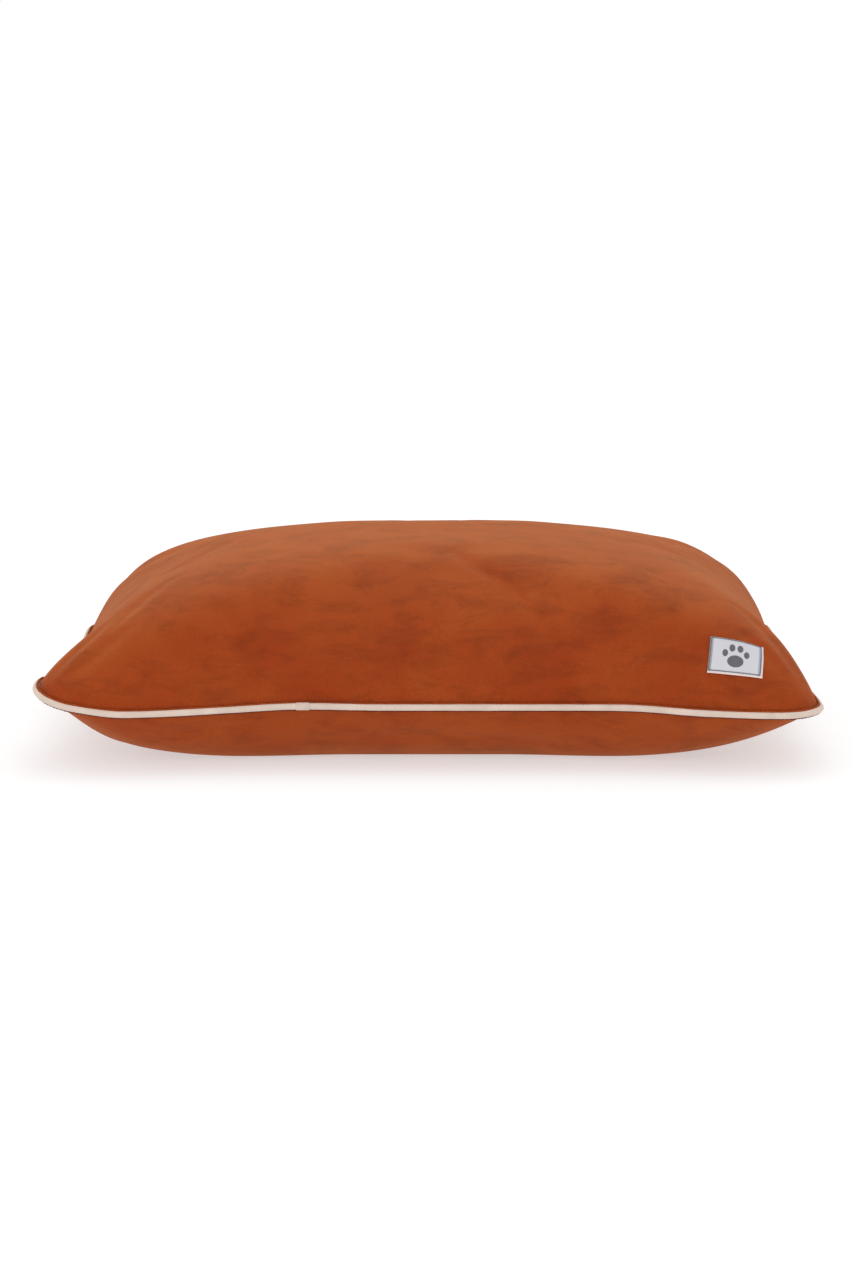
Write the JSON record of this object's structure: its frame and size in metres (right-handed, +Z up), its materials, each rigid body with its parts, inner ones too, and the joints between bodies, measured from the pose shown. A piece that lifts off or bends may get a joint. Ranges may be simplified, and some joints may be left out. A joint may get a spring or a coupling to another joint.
{
  "type": "pet cushion bed",
  "caption": "Rectangular pillow-style pet bed with a domed velvet cover, contrasting corded piping, sewn corner patch and a zip along the back.",
  "frame": {"origin": "on the floor, under the middle of the cushion's outline", "axes": "+X along the length towards the end with the sewn patch, +Y to the back edge with the zip, +Z up"},
  "size_m": [0.8992, 0.6487, 0.232],
  "materials": {
    "velvet": "short crushed pile, soft sheen",
    "piping_cloth": "plain weave, matt",
    "cord": "twisted cotton, matt",
    "thread": "spun polyester",
    "liner_cloth": "plain woven polyester, matt",
    "fibre_fill": "loose hollow fibre",
    "zip_tape": "dense woven tape",
    "zip_coil": "satin nylon",
    "zip_metal": "satin antique brown",
    "patch_satin": "woven satin",
    "patch_frame": "raised satin stitch",
    "patch_print": "raised satin stitch",
    "patch_thread": "spun polyester",
    "care_satin": "printed satin, left blank"
  },
  "bodies": {
    "cushion": {"cover_top": "velvet", "cover_base": "velvet", "cover_seam_overlock": "thread", "piping_casing": "piping_cloth", "piping_cord": "cord", "liner_top": "liner_cloth", "liner_base": "liner_cloth", "liner_seam_overlock": "liner_cloth", "filling": "fibre_fill", "zip_tape_upper": "zip_tape", "zip_tape_lower": "zip_tape", "zip_teeth_upper": "zip_coil", "zip_teeth_lower": "zip_coil", "zip_top_stops": "zip_metal", "zip_bottom_stop": "zip_metal", "zip_end_tab_left": "velvet", "zip_end_tab_right": "velvet", "label_patch": "patch_satin", "label_border": "patch_frame", "label_stitches": "patch_thread", "label_emblem": "patch_print", "care_label": "care_satin"},
    "slider": {"zip_slider": "zip_metal"},
    "pull": {"zip_pull": "zip_metal"}
  },
  "joints": [
    {"name": "zip_slide", "type": "slide", "parent": "cushion", "child": "slider", "axis": [-1, 0, 0], "range_m": [0, 0.5271]},
    {"name": "pull_hinge", "type": "hinge", "parent": "slider", "child": "pull", "pos_m": [0.26355, 0.29818, 0.0646], "axis": [0, -0.6157, -0.788], "range_deg": [0, 175]}
  ]
}
